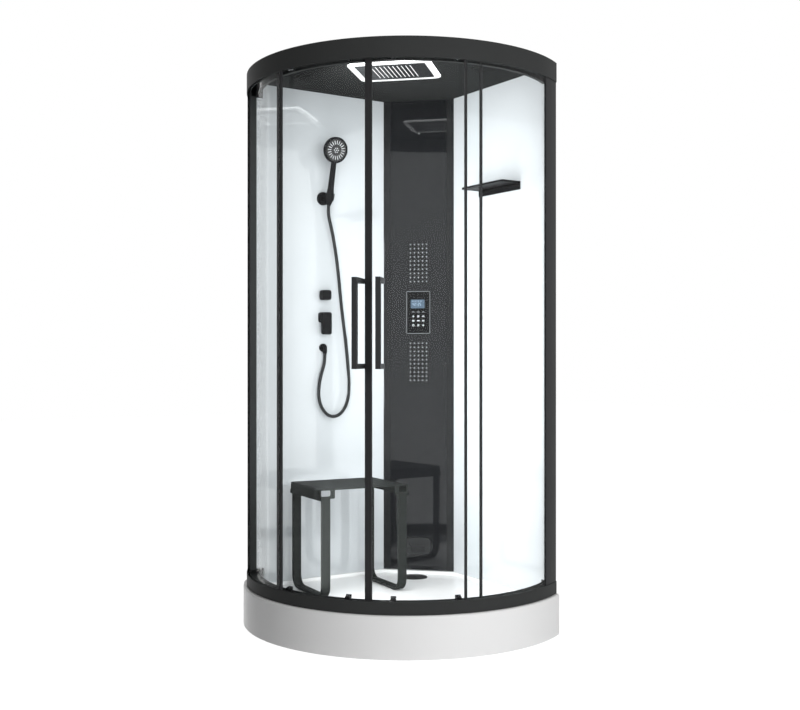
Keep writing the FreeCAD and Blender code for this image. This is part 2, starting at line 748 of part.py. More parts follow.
def ceiling_fittings():
    foot = ceiling_height - led_thickness
    outer = rounded_plate(led_width, led_length, led_thickness, led_corner_radius)
    inner = rounded_plate(led_width - 2 * led_band, led_length - 2 * led_band, led_thickness + 2, 10)
    inner.translate(Vector(0, 0, -1))
    save("led_frame", on_ceiling(outer.cut(inner), led_offset, led_distance, foot))
    width = led_width - 2 * led_band - 2 * seat_gap
    length = led_length - 2 * led_band - 2 * seat_gap
    plate = rounded_plate(width, length, led_thickness, 10)
    chamber = rounded_plate(width - 42, length - 42, led_thickness + roof_skin + 20, 9)
    rain = fuse(plate, chamber)
    for i in range(rain_slots):
        x = (i - rain_slots / 2.0) * rain_slot_pitch + (rain_slot_pitch - rain_slot_width) / 2.0
        low = Vector(x, -rain_slot_length / 2, -1)
        rain = rain.cut(Part.makeBox(rain_slot_width, rain_slot_length, 4, low))
    inlet = Part.makeCylinder(10, 40, Vector(0, 60, led_thickness + roof_skin + 10), Vector(0, 1, 0))
    save("rain_plate", on_ceiling(fuse(rain, inlet), led_offset, led_distance, foot))
    units = (("fan", -vent_offset, 38.0, 34.0), ("speaker", vent_offset, 36.0, 24.0))
    for name, s, unit_radius, unit_height in units:
        cover = cylinder(vent_radius, 0, vent_thickness)
        cover = cover.makeFillet(2.0, [e for e in cover.Edges if e.BoundBox.ZMax < 0.1])
        for i in range(5):
            y = (i - 2) * 13.0
            half = math.sqrt((vent_radius - 12) ** 2 - y**2)
            cover = cover.cut(Part.makeBox(2 * half, 5, 4, Vector(-half, y - 2.5, -1)))
        save(name + "_cover", on_ceiling(cover, s, vent_distance, ceiling_height - vent_thickness))
        unit = cylinder(unit_radius, 0, roof_skin + unit_height)
        flange = cylinder(vent_radius - 6, roof_skin, roof_skin + 3)
        save(name + "_unit", on_ceiling(fuse(unit, flange), s, vent_distance, ceiling_height))


# ------------------------------------------------------------------ corner column
def column():
    foot, top = ledge_height, ceiling_height
    back = column_face - glass_thickness
    half = column_half_width - seat_gap
    save("column_glass", corner_block(-half, half, back, column_face, foot, top))
    face = column_face + 1.5
    rear = face - column_profile_depth
    slope = math.sqrt(2) * wall_depth + run_gap * math.sqrt(2)
    outline = [
        (column_half_width, rear), (column_half_width, face),
        (face - slope, face), (rear - slope, rear),
    ]
    profiles = []
    for side in (1, -1):
        corners = [corner_point(side * s, t, foot) for s, t in outline]
        profile = Part.Face(Part.makePolygon(corners + corners[:1])).extrude(Vector(0, 0, top - foot))
        profiles.append(profile)
    save("column_profiles", *profiles)
    post = column_post
    outer = column_half_width - 22
    behind = (rear - post, rear)
    bars = [
        corner_block(outer - post, outer, *behind, foot, top),
        corner_block(-outer, post - outer, *behind, foot, top),
    ]
    for z in (foot, generator_foot - 20, generator_top + 4, control_rail, jet_rail, top - post):
        bars.append(corner_block(2 - outer, outer - 2, *behind, z, z + post))
    save("column_frame", fuse(*bars))
    return back, rear


def column_equipment(back, rear):
    panel = rounded_plate(panel_width, panel_height, panel_thickness, 6)
    window = rounded_plate(display_width, display_height, 2, 2)
    window.translate(Vector(display_offset, display_centre - panel_centre, panel_thickness - 1.5))
    panel = panel.cut(window)
    save("control_panel", on_column(panel, 0, column_face, panel_centre))
    display = rounded_plate(display_width - 2 * seat_gap, display_height - 2 * seat_gap, 1.3, 2)
    seat = column_face + panel_thickness - 1.5
    save("control_display", on_column(display, display_offset, seat, display_centre))
    behind = rear - column_post
    box_foot = control_rail + 2
    box = corner_block(-60, 60, behind - 44, behind, box_foot, box_foot + 230)
    save("control_box", box)
    for name, centre in (("upper_jets", upper_jets_centre), ("lower_jets", lower_jets_centre)):
        nubs = []
        for row in range(jet_rows):
            for place in range(jet_columns):
                s = (place - (jet_columns - 1) / 2.0) * jet_pitch
                z = centre + (row - (jet_rows - 1) / 2.0) * jet_pitch
                nubs.append(on_column(prism(6, jet_radius, 0, 2.5), s, column_face, z))
        manifold = corner_block(-45, 45, rear + 0.5, back, centre - 90, centre + 90)
        save(name, manifold, *nubs)
    jet = fuse(cylinder(side_jet_radius, 0, 3), cylinder(side_jet_radius - 2, 3, 8))
    heights = (upper_side_jet, lower_side_jet)
    save("side_jets", *[on_column(jet, side_jet_offset, column_face, z) for z in heights])
    half = generator_width / 2
    tank_back = behind - generator_depth
    tank = corner_block(-half, half, tank_back, behind, generator_foot, generator_top)
    save("steam_generator", tank)
    pipe_radius = 8.0
    drop_t = tank_back + generator_depth / 2
    bend = 30.0
    path = [
        corner_point(0, drop_t, generator_foot), corner_point(0, drop_t, steam_centre + bend),
        corner_point(0, drop_t + bend, steam_centre), corner_point(0, back, steam_centre),
    ]
    short = bend * (1 - math.sqrt(0.5))
    middle = corner_point(0, drop_t + short, steam_centre + short)
    spine = Part.Wire([
        Part.makeLine(path[0], path[1]), Part.Arc(path[1], middle, path[2]).toShape(),
        Part.makeLine(path[2], path[3]),
    ])
    section = Part.Wire(Part.makeCircle(pipe_radius, path[0], Vector(0, 0, -1)))
    save("steam_pipe", spine.makePipeShell([section], True, False))
    outlet = rounded_plate(steam_width, steam_height, steam_depth, 20)
    rim = [e for e in outlet.Edges if e.BoundBox.ZMin > steam_depth - 0.1]
    outlet = outlet.makeFillet(4.0, rim)
    cup = rounded_plate(steam_width - 36, 26, 10, 12)
    cup.translate(Vector(0, 8, steam_depth - 9))
    outlet = outlet.cut(cup)
    for i in range(3):
        outlet = outlet.cut(Part.makeBox(60, 3, 8, Vector(-30, -14 - 6 * i, steam_depth - 6)))
    save("steam_outlet", on_column(outlet, 0, column_face, steam_centre))


# ------------------------------------------------------------------ fittings on the left wall
def valve_pocket():
    """The room that the valve's plate and inlets take behind the wall's skin."""
    spare = 2.0
    half = valve_plate_width / 2 + spare
    margin = valve_plate_margin + spare
    height = diverter_height - mixer_height + 2 * margin
    low = Vector(-half, -margin, -wall_depth - 1)
    return Part.makeBox(2 * half, height, wall_depth + 1 - wall_skin, low)


def valve_and_taps():
    """Local Z leads into the cabin from the wall's face, with the mixer's middle at the origin."""
    lift = diverter_height - mixer_height
    front = -wall_skin - valve_gap
    back = front - valve_plate_depth
    low = Vector(-valve_plate_width / 2, -valve_plate_margin, back)
    height = lift + 2 * valve_plate_margin
    plate = Part.makeBox(valve_plate_width, height, valve_plate_depth, low)
    collar_radius = 14.0
    knob_start = 12.0
    mixer_collar = cylinder(collar_radius, front - 1, 0.5)
    diverter_collar = cylinder(collar_radius, front - 1, knob_start - run_gap)
    diverter_collar.translate(Vector(0, lift, 0))
    body = rounded_plate(knob_size + 1, knob_size + 1, mixer_body_depth, knob_corner)
    inlets = []
    for x in (-inlet_spacing / 2, inlet_spacing / 2):
        inlet = cylinder(inlet_radius, back - inlet_length, back + 1)
        inlet.translate(Vector(x, inlet_offset, 0))
        inlets.append(inlet)
    whole = fuse(plate, mixer_collar, diverter_collar, body, *inlets)
    save("mixer_valve", on_left_wall(whole, tap_line, mixer_height))
    knob = rounded_plate(knob_size, knob_size, knob_depth, knob_corner)
    knob = knob.makeFillet(3.0, [e for e in knob.Edges if e.BoundBox.ZMin > knob_depth - 0.1])
    knob.translate(Vector(0, 0, knob_start))
    save("diverter_knob", on_left_wall(knob, tap_line, diverter_height))
    cap_start = mixer_body_depth + run_gap
    cap = rounded_plate(knob_size + 1, knob_size + 1, cartridge_depth, knob_corner)
    cap.translate(Vector(0, 0, cap_start))
    save("mixer_cartridge", on_left_wall(cap, tap_line, mixer_height))
    lever = rounded_plate(lever_width, lever_length, lever_thickness, 9)
    lever = lever.makeFillet(3.0, [e for e in lever.Edges if e.BoundBox.ZMin > lever_thickness - 0.1])
    back_edges = [e for e in lever.Edges if e.BoundBox.ZMax < 0.01]
    upper = [e for e in back_edges if e.BoundBox.YMin > lever_length / 2 - 0.01]
    lever = lever.makeFillet(lever_pivot_radius, upper)
    lever_top = knob_size / 2 + 0.5
    lever_start = cap_start + cartridge_depth + run_gap
    lever.translate(Vector(0, lever_top - lever_length / 2, lever_start))
    save("mixer_lever", on_left_wall(lever, tap_line, mixer_height))


def outlet_elbow():
    knee_out = 20.0
    bend_radius = 9.5
    nut_length = 12.0
    down = Vector(0, -1, 0)
    disc = cylinder(17, 0, 9)
    tail = cylinder(outlet_tail_radius, 6 - wall_depth, 1)
    stub = cylinder(8, 8, knee_out)
    knee = Part.makeSphere(bend_radius, Vector(0, 0, knee_out))
    drop = Part.makeCylinder(bend_radius, outlet_drop - nut_length, Vector(0, 0, knee_out), down)
    nut_top = Vector(0, nut_length - outlet_drop, knee_out)
    nut = Part.makeCone(bend_radius + 1, 8.5, nut_length, nut_top, down)
    save("outlet_elbow", on_left_wall(fuse(disc, tail, stub, knee, drop, nut), tap_line, outlet_height))


def tilted(shape):
    """Takes a shape made about Z up from the cup's middle into the holder's tilt."""
    placed = shape.copy()
    turn = Placement(Vector(left_face + holder_reach, tap_line, holder_height),
                     Rotation(Vector(0, 1, 0), handset_tilt))
    placed.Placement = turn.multiply(placed.Placement)
    return placed


def handset_holder():
    half = 15.0
    disc = on_left_wall(cylinder(28, 0, 8), tap_line, holder_height)
    arm = on_left_wall(cylinder(10, 7, holder_reach - 8), tap_line, holder_height)
    cup = tilted(cone(17.5, 20, -half, half))
    bore = tilted(cylinder(handset_bore, -half - 5, half + 5))
    mouth = tilted(cylinder(16, half - 2, half + 10))
    save("handset_holder", fuse(disc, arm, cup).cut(bore).cut(mouth))


def handset():
    stem = cylinder(handset_bore - 0.5, -22, 20)
    shoulder = cone(15.3, 14.0, 15 - 2 + run_gap, 30)
    grip = cone(13.0, 11.0, 25, handset_length - handset_face_radius - 2)
    nut = cone(hose_diameter / 2 + 1.5, 12.0, -handset_tail, -22)
    head = cylinder(handset_head_radius, -handset_head_thickness / 2, handset_head_thickness / 2)
    head = head.makeFillet(5.0, [e for e in head.Edges if e.BoundBox.ZMax < 0])
    front = handset_head_thickness / 2
    seat = cylinder(handset_face_radius + seat_gap, front - 2, front + 1)
    head = head.cut(seat)
    centre = Vector(0, 0, handset_length)
    head = aim(head, centre, Vector(0, 1, 0), Vector(0, 0, 1), Vector(1, 0, 0))
    body = fuse(stem, shoulder, grip, nut, head)
    save("handset", tilted(body))
    face = cylinder(handset_face_radius, 0, 3.5)
    face = face.cut(cylinder(17, 2.7, 5))
    slots = 20
    for i in range(slots):
        slot = Part.makeBox(16, 3, 2, Vector(24, -1.5, 2.5))
        slot.rotate(Vector(0, 0, 0), Vector(0, 0, 1), 360.0 * i / slots)
        face = face.cut(slot)
    nozzles = [prism(6, 2.2, 2.7, 4.2)]
    circle = 9.0
    for i in range(6):
        angle = i * math.pi / 3
        nozzle = nozzles[0].copy()
        nozzle.translate(Vector(circle * math.cos(angle), circle * math.sin(angle), 0))
        nozzles.append(nozzle)
    face = face.fuse(nozzles)
    face.translate(Vector(0, 0, front - 2 + seat_gap / 2))
    save("handset_face", tilted(aim(face, centre, Vector(0, 1, 0), Vector(0, 0, 1), Vector(1, 0, 0))))


# The hose's route, chosen by hand: from the handset's nut down, round its loop and up to the elbow.
hose_route = [
    (-418.3, -55.0, 1705.7),
    (-426.4, -55.0, 1673.0),
    (-433.0, -36.0, 1620.0),
    (-438.0, -18.0, 1556.0),
    (-441.0, 3.0, 1438.0),
    (-441.0, 18.0, 1288.0),
    (-440.0, 41.0, 1128.0),
    (-440.0, 53.0, 1010.0),
    (-440.0, 57.0, 943.0),
    (-440.0, 52.0, 887.0),
    (-441.0, 33.0, 842.0),
    (-442.0, 1.0, 816.0),
    (-443.0, -37.0, 816.0),
    (-444.0, -69.0, 842.0),
    (-445.5, -88.0, 887.0),
    (-447.5, -87.0, 942.0),
    (-450.0, -74.0, 996.0),
    (-452.0, -55.0, 1043.0),
    (-452.0, -55.0, 1083.0),
]


def hose():
    """A tube of straight runs joined by tangent arcs, each as large as its two runs allow."""
    points = [Vector(*p) for p in hose_route]
    edges = []
    length = 0.0
    last = points[0]
    radii = []
    for before, here, after in zip(points, points[1:], points[2:]):
        into = (here - before).normalize()
        out = (after - here).normalize()
        turn = into.getAngle(out)
        cut = 0.45 * min((here - before).Length, (after - here).Length)
        radius = cut / math.tan(turn / 2)
        radii.append(radius)
        start = here - into * cut
        end = here + out * cut
        inward = (out - into).normalize()
        middle = here + inward * (radius / math.cos(turn / 2) - radius)
        edges.append(Part.makeLine(last, start))
        edges.append(Part.Arc(start, middle, end).toShape())
        length += (start - last).Length + radius * turn
        last = end
    edges.append(Part.makeLine(last, points[-1]))
    length += (points[-1] - last).Length
    section = Part.Wire(Part.makeCircle(hose_diameter / 2, points[0], points[1] - points[0]))
    tube = Part.Wire(edges).makePipeShell([section], True, False)
    ratio = tube.Volume / (math.pi * hose_diameter**2 / 4 * length)
    print("hose radii", [round(r) for r in radii])
    print("hose length %.0f, volume ratio %.4f" % (length, ratio))
    save("shower_hose", tube)


# ------------------------------------------------------------------ shelf and stool
def shelf():
    under = shelf_top - shelf_thickness
    front = right_face - shelf_depth
    plate = block(shelf_start, shelf_end, front, right_face, under, shelf_top)
    upright = [e for e in plate.Edges if abs(e.tangentAt(e.FirstParameter).z) > 0.9]
    plate = plate.makeFillet(8.0, [e for e in upright if e.BoundBox.YMax < right_face - 1])
    foot = under - shelf_flange
    flange = block(shelf_start, shelf_end, right_face - 4, right_face, foot, shelf_top - 1)
    save("shelf", fuse(plate, flange))


def on_tray(shape):
    """Local X is the stool's depth, Y its length."""
    placed = shape.copy()
    turn = Placement(Vector(stool_x, stool_y, 0), Rotation(Vector(0, 0, 1), stool_turn))
    placed.Placement = turn.multiply(placed.Placement)
    return placed


def stool_seat():
    """A plate with two bent ends, and slotted brackets at its four corners."""
    depth, length = stool_half_depth, stool_half_length
    outer = block(-depth, depth, -length, length, stool_top - stool_apron, stool_top)
    bends = [e for e in outer.Edges if abs(e.tangentAt(e.FirstParameter).x) > 0.9]
    outer = outer.makeFillet(stool_bend_radius, [e for e in bends if e.BoundBox.ZMin > stool_top - 1])
    within = length - stool_end
    inside = block(-depth - 1, depth + 1, -within, within, 0, stool_top - stool_plate)
    seat = outer.cut(inside)
    bracket_foot = stool_top - stool_bracket_drop
    brackets = []
    slots = []
    for side in (-1, 1):
        low, high = sorted((side * (length - stool_bracket), side * (within + 1)))
        for face in (-1, 1):
            back, front = sorted((face * depth, face * (depth - stool_bracket_skin)))
            plate = block(back, front, low, high, bracket_foot, stool_top - 1)
            lower = [e for e in plate.Edges if e.BoundBox.ZMax < bracket_foot + 0.1]
            inner = [e for e in lower if abs(e.CenterOfMass.y) < length - stool_bracket + 0.1]
            brackets.append(plate.makeFillet(hand_slot_round, inner))
            slot = rounded_plate(2 * hand_slot_length, hand_slot_height, leg_thickness, hand_slot_round)
            middle = stool_top - stool_plate - hand_slot_height / 2
            x = face * (depth - leg_thickness / 2)
            origin = Vector(x - leg_thickness / 2, side * length, middle)
            slots.append(aim(slot, origin, Vector(0, 1, 0), Vector(0, 0, 1), Vector(1, 0, 0)))
    seat = seat.fuse(brackets)
    for slot in slots:
        seat = seat.cut(slot)
    return seat.removeSplitter()


def stool():
    save("stool_seat", on_tray(stool_seat()))
    low = floor_height + run_gap + pad_thickness
    high = stool_top - stool_plate - hand_slot_height - 1.0
    half = stool_half_depth - stool_bracket_skin
    outer = stool_half_length - stool_end
    legs = []
    pads = []
    for start in (-outer, outer - leg_width):
        outside = u_profile(half, low, high, leg_bend_radius)
        bend = leg_bend_radius - leg_thickness
        inside = u_profile(half - leg_thickness, low + leg_thickness, high + 1, bend)
        bar = outside.cut(inside)
        bar.translate(Vector(0, start, 0))
        legs.append(on_tray(bar))
        for x in (leg_bend_radius - half, half - leg_bend_radius - pad_length):
            pad = block(x, x + pad_length, start + 3, start + leg_width - 3, low - pad_thickness, low)
            pads.append(on_tray(pad))
    save("stool_legs", *legs)
    save("stool_pads", *pads)


def u_profile(half, low, high, radius):
    """A slab in the XZ plane, leg_width deep, with its two lower corners rounded."""
    slab = block(-half, half, 0, leg_width, low, high)
    lower = [e for e in slab.Edges if e.BoundBox.ZMax < low + 0.1]
    return slab.makeFillet(radius, [e for e in lower if abs(e.tangentAt(e.FirstParameter).y) > 0.9])


# ------------------------------------------------------------------ the whole cabin
def main():
    os.makedirs("parts", exist_ok=True)
    tray()
    drain_cover()
    tray_frame()
    waste_trap()
    bottom_rail()
    top_rail()
    fixed_front()
    door("left", -1)
    door("right", 1)
    tap_hole = 15.0
    outlet_hole = outlet_tail_radius + 0.5
    wall("left", [(mixer_height, tap_hole), (diverter_height, tap_hole), (outlet_height, outlet_hole)])
    wall("right", [])
    roof()
    ceiling_fittings()
    column_equipment(*column())
    valve_and_taps()
    outlet_elbow()
    handset_holder()
    handset()
    hose()
    shelf()
    stool()


main()
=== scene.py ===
import math

import bmesh
import bpy
from mathutils import Matrix, Vector

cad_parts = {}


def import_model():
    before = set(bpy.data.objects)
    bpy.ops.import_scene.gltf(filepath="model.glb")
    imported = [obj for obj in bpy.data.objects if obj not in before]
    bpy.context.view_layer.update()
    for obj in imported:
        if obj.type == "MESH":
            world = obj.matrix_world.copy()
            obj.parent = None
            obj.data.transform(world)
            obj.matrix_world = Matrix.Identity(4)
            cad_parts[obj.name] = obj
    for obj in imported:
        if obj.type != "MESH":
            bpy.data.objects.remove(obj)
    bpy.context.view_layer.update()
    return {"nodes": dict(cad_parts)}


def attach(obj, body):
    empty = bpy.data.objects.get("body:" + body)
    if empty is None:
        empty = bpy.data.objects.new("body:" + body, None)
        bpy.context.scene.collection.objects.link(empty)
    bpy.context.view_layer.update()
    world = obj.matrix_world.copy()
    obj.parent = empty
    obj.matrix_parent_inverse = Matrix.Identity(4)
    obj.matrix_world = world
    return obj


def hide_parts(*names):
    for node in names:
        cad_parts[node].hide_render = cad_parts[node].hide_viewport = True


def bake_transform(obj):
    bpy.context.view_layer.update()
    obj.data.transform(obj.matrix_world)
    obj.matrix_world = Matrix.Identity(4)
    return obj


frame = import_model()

nodes = frame["nodes"]

# ------------------------------------------------------------------ plan, in metres
CORNER = Vector((-0.5, 0.5, 0.0))                               # where the two walls meet
DIAGONAL = Vector((math.sqrt(0.5), math.sqrt(0.5), 0.0))        # along the column's face
ROOM_WARD = Vector((math.sqrt(0.5), -math.sqrt(0.5), 0.0))      # out of the column's face
UP = Vector((0.0, 0.0, 1.0))
COLUMN_FACE = 0.1945            # corner to the column's glass face
PANEL_THICKNESS = 0.006
SIGN_THICKNESS = 0.0004         # signs and figures on the control panel
FIGURE_SINK = 0.0003            # the display's figures start this far under the panel's face
HOSE_DIAMETER = 0.014

# The photograph's camera: level, turned from +Y towards -X, with its lens and its small shift.
VIEW_AZIMUTH = math.radians(57.12)
VIEW_DISTANCE = 4.4266
VIEW_HEIGHT = 1.0708
VIEW_AXIS = Vector((-0.0559, 0.0559, 0.0))
LENS = 49.99
SENSOR_WIDTH = 36.0
SHIFT = (0.0029, 0.0016)

# Shares of light. The panes have an anti-glare coat, so they mirror almost nothing.
GLASS_IOR = 1.12
GLASS_FADE = (0.5, 0.7)         # from here to there, towards edge-on, a pane turns to plain air
POWDER_GLOSS = 0.05
PLASTIC_GLOSS = 0.45
DIFFUSER_ROUGHNESS = 0.4
BOLTS_ABOVE = 1.0               # height that parts the doors' bolts from their lower clips
FLOOR_SIZE = 30.0
FLOOR_WHITE = 1.25
FLOOR_WHITE_SHARE = 0.82
ROOM_LIGHT = 0.11


def srgb(text):
    """A colour written as on a screen, as the linear values that a shader takes."""
    values = [int(text[i:i + 2], 16) / 255.0 for i in (0, 2, 4)]
    linear = [v / 12.92 if v <= 0.04045 else ((v + 0.055) / 1.055) ** 2.4 for v in values]
    return (*linear, 1.0)


def scaled(colour, factor):
    """A screen colour made lighter or darker."""
    return tuple(c * factor for c in srgb(colour)[:3]) + (1.0,)


# ------------------------------------------------------------------ material building blocks
class Shader:
    """A Principled material with helpers for the fine texture of its surface."""

    def __init__(self, name):
        self.material = bpy.data.materials.new(name)
        self.material.use_nodes = True
        self.tree = self.material.node_tree
        self.bsdf = self.tree.nodes["Principled BSDF"]
        self.output = self.tree.nodes["Material Output"]

    def node(self, kind, **values):
        made = self.tree.nodes.new(kind)
        for key, value in values.items():
            setattr(made, key, value)
        return made

    def link(self, source, target):
        self.tree.links.new(source, target)

    def set(self, **values):
        for key, value in values.items():
            self.bsdf.inputs[key.replace("_", " ")].default_value = value

    def place(self):
        return self.node("ShaderNodeTexCoord").outputs["Object"]

    def noise(self, scale, detail=3.0, stretch=None):
        texture = self.node("ShaderNodeTexNoise")
        texture.inputs["Scale"].default_value = scale
        texture.inputs["Detail"].default_value = detail
        source = self.place()
        if stretch is not None:
            mapping = self.node("ShaderNodeMapping")
            mapping.inputs["Scale"].default_value = stretch
            self.link(source, mapping.inputs["Vector"])
            source = mapping.outputs["Vector"]
        self.link(source, texture.inputs["Vector"])
        return texture.outputs["Fac"]

    def spread(self, value, low, high):
        span = self.node("ShaderNodeMapRange")
        span.inputs["To Min"].default_value = low
        span.inputs["To Max"].default_value = high
        self.link(value, span.inputs["Value"])
        return span.outputs["Result"]

    def rough(self, value, low, high):
        self.link(self.spread(value, low, high), self.bsdf.inputs["Roughness"])

    def tint(self, value, first, second):
        mix = self.node("ShaderNodeMix", data_type="RGBA")
        mix.inputs["A"].default_value = first
        mix.inputs["B"].default_value = second
        self.link(value, mix.inputs["Factor"])
        self.link(mix.outputs["Result"], self.bsdf.inputs["Base Color"])

    def bump(self, value, strength, distance):
        made = self.node("ShaderNodeBump")
        made.inputs["Strength"].default_value = strength
        made.inputs["Distance"].default_value = distance
        self.link(value, made.inputs["Height"])
        self.link(made.outputs["Normal"], self.bsdf.inputs["Normal"])

    def blend(self, share, first, second):
        """The first surface where the share is 0, the second where it is 1."""
        mix = self.node("ShaderNodeMixShader")
        self.link(share, mix.inputs["Fac"])
        self.link(first, mix.inputs[1])
        self.link(second, mix.inputs[2])
        self.link(mix.outputs["Shader"], self.output.inputs["Surface"])


def powder_black(name, colour, low, high):
    """Powder-coated aluminium: near black, a faint orange peel, uneven gloss."""
    shader = Shader(name)
    shader.set(Specular_IOR_Level=POWDER_GLOSS)
    wide = shader.noise(scale=6.0)
    fine = shader.noise(scale=900.0, detail=2.0)
    shader.tint(wide, srgb(colour), scaled(colour, 1.18))
    shader.rough(wide, low, high)
    shader.bump(fine, strength=0.05, distance=0.0003)
    return shader.material


def gloss_white(name, first, second, low, high, ior):
    """Glossy acrylic or back-painted glass, with a very slight wave."""
    shader = Shader(name)
    shader.set(IOR=ior)
    wide = shader.noise(scale=2.5)
    shader.tint(wide, srgb(first), srgb(second))
    shader.rough(wide, low, high)
    shader.bump(shader.noise(scale=5.0, detail=1.0), strength=0.04, distance=0.002)
    return shader.material


def clear_glass(name, colour):
    """Clear toughened glass: no caustic noise, and no glare where it's seen along its face."""
    shader = Shader(name)
    shader.set(Base_Color=srgb(colour), Roughness=0.0, IOR=GLASS_IOR, Transmission_Weight=1.0)
    path = shader.node("ShaderNodeLightPath")
    open_air = shader.node("ShaderNodeBsdfTransparent")
    open_air.inputs["Color"].default_value = srgb("FDFEFE")
    edge_on = shader.node("ShaderNodeMapRange")
    edge_on.inputs["From Min"].default_value = GLASS_FADE[0]
    edge_on.inputs["From Max"].default_value = GLASS_FADE[1]
    shader.link(shader.node("ShaderNodeLayerWeight").outputs["Facing"], edge_on.inputs["Value"])
    through = shader.node("ShaderNodeMath", operation="MAXIMUM")
    shader.link(path.outputs["Is Shadow Ray"], through.inputs[0])
    shader.link(edge_on.outputs["Result"], through.inputs[1])
    shader.blend(through.outputs["Value"], shader.bsdf.outputs["BSDF"], open_air.outputs["BSDF"])
    shader.rough(shader.noise(scale=14.0, detail=2.0), 0.0, 0.012)
    return shader.material


def gloss_black(name, colour, low, high, level=0.5):
    """Black glass: a deep colour under a mirror-like face."""
    shader = Shader(name)
    shader.set(Specular_IOR_Level=level)
    wide = shader.noise(scale=3.0)
    shader.tint(wide, srgb(colour), scaled(colour, 1.12))
    shader.rough(wide, low, high)
    return shader.material


def moulded(name, colour, low, high):
    """Moulded plastic or rubber with a fine grain."""
    shader = Shader(name)
    shader.set(Specular_IOR_Level=PLASTIC_GLOSS)
    grain = shader.noise(scale=420.0, detail=2.0)
    shader.tint(shader.noise(scale=12.0), srgb(colour), scaled(colour, 1.2))
    shader.rough(grain, low, high)
    shader.bump(grain, strength=0.08, distance=0.0004)
    return shader.material


def metal(name, colour, low, high, stretch=None):
    """Bare or plated metal, brushed where a stretch is given."""
    shader = Shader(name)
    shader.set(Metallic=1.0)
    streak = shader.noise(scale=60.0, detail=4.0, stretch=stretch)
    shader.tint(streak, srgb(colour), scaled(colour, 0.86))
    shader.rough(streak, low, high)
    if stretch is not None:
        shader.bump(streak, strength=0.05, distance=0.0003)
    return shader.material


def diffuser(name, colour, strength, level):
    """A milky cover's shader, and its uneven strength from a share of the full one upwards."""
    shader = Shader(name)
    shader.set(Base_Color=srgb(colour), Roughness=DIFFUSER_ROUGHNESS, Emission_Color=srgb(colour))
    return shader, shader.spread(shader.noise(scale=30.0), strength * level, strength)


def edge_lit(name, colour, strength, level):
    """A bright diffuser: polished pieces mirror its rim, but not its lower face."""
    shader, uneven = diffuser(name, colour, strength, level)
    split = shader.node("ShaderNodeSeparateXYZ")
    normal = shader.node("ShaderNodeNewGeometry").outputs["True Normal"]
    shader.link(normal, split.inputs["Vector"])
    rim = shader.node("ShaderNodeMath", operation="ADD", use_clamp=True)
    rim.inputs[1].default_value = 1.0
    shader.link(split.outputs["Z"], rim.inputs[0])
    direct = shader.node("ShaderNodeMath", operation="SUBTRACT")
    direct.inputs[0].default_value = 1.0
    mirrored = shader.node("ShaderNodeLightPath").outputs["Is Glossy Ray"]
    shader.link(mirrored, direct.inputs[1])
    seen = shader.node("ShaderNodeMath", operation="MAXIMUM")
    shader.link(rim.outputs["Value"], seen.inputs[0])
    shader.link(direct.outputs["Value"], seen.inputs[1])
    glow = shader.node("ShaderNodeMath", operation="MULTIPLY")
    shader.link(seen.outputs["Value"], glow.inputs[0])
    shader.link(uneven, glow.inputs[1])
    shader.link(glow.outputs["Value"], shader.bsdf.inputs["Emission Strength"])
    return shader.material


def glowing(name, colour, strength, level):
    """A diffuser lit from behind. On the rain plate's nozzles it is a painted glow that stands in
    for light falling on them.
    """
    shader, uneven = diffuser(name, colour, strength, level)
    shader.link(uneven, shader.bsdf.inputs["Emission Strength"])
    return shader.material


def hanger_finish():
    """Polished bolts at the top of the doors, black plastic clips at their foot."""
    shader = Shader("hanger_finish")
    split = shader.node("ShaderNodeSeparateXYZ")
    shader.link(shader.place(), split.inputs["Vector"])
    above = shader.node("ShaderNodeMath", operation="GREATER_THAN")
    above.inputs[1].default_value = BOLTS_ABOVE
    shader.link(split.outputs["Z"], above.inputs[0])
    shader.tint(above.outputs["Value"], srgb("1B1B1C"), srgb("D9D9D9"))
    shader.link(above.outputs["Value"], shader.bsdf.inputs["Metallic"])
    shader.rough(shader.noise(scale=40.0), 0.2, 0.34)
    return shader.material


# After their colours, paints, plastics and metals take their least and greatest roughness.
FRAME_BLACK = powder_black("frame_black", "373838", 0.45, 0.58)
STILE_BLACK = powder_black("stile_black", "303031", 0.38, 0.5)
FITTING_BLACK = powder_black("fitting_black", "19191A", 0.36, 0.5)
STOOL_BLACK = powder_black("stool_black", "252726", 0.5, 0.62)
HANDLE_BLACK = powder_black("handle_black", "353637", 0.36, 0.48)
TRAY_WHITE = gloss_white("tray_white", "EDEDED", "F2F2F2", 0.2, 0.26, ior=1.4)
# The left wall is a darker copy of the right wall's white: painted shade on the same white panel.
LEFT_WALL_SHADED_WHITE = gloss_white("left_wall_painted_shade", "BBBFC2", "C0C4C7", 0.04, 0.07, ior=2.0)
RIGHT_WALL_WHITE = gloss_white("right_wall_white", "D2D6D9", "D7DBDE", 0.04, 0.07, ior=2.0)
DOOR_GLASS = clear_glass("door_glass", "FBFDFD")
FIXED_GLASS = clear_glass("fixed_glass", "FBFDFD")
COLUMN_BLACK = gloss_black("column_black", "17181A", 0.02, 0.05)
PANEL_BLACK = gloss_black("panel_black", "0F1011", 0.05, 0.09, level=0.25)
PROFILE_BLACK = gloss_black("profile_black", "1E1F20", 0.15, 0.25, level=0.35)
CEILING_BLACK = gloss_black("ceiling_black", "2E2F2F", 0.5, 0.6, level=0.0)
TRIM_BLACK = moulded("trim_black", "262728", 0.35, 0.5)
JET_GREY = moulded("jet_grey", "76787A", 0.3, 0.42)
FACE_BLACK = moulded("face_black", "232324", 0.36, 0.5)
RUBBER = moulded("rubber_black", "1A1A1A", 0.6, 0.75)
HOSE_BLACK = moulded("hose_black", "1F2021", 0.34, 0.46)
PIPE_GREY = moulded("pipe_grey", "77797B", 0.4, 0.5)
STEEL = metal("brushed_steel", "B9BBBC", 0.26, 0.4, stretch=(1.0, 1.0, 12.0))
GALVANISED = metal("galvanised", "A3A6A8", 0.42, 0.58)
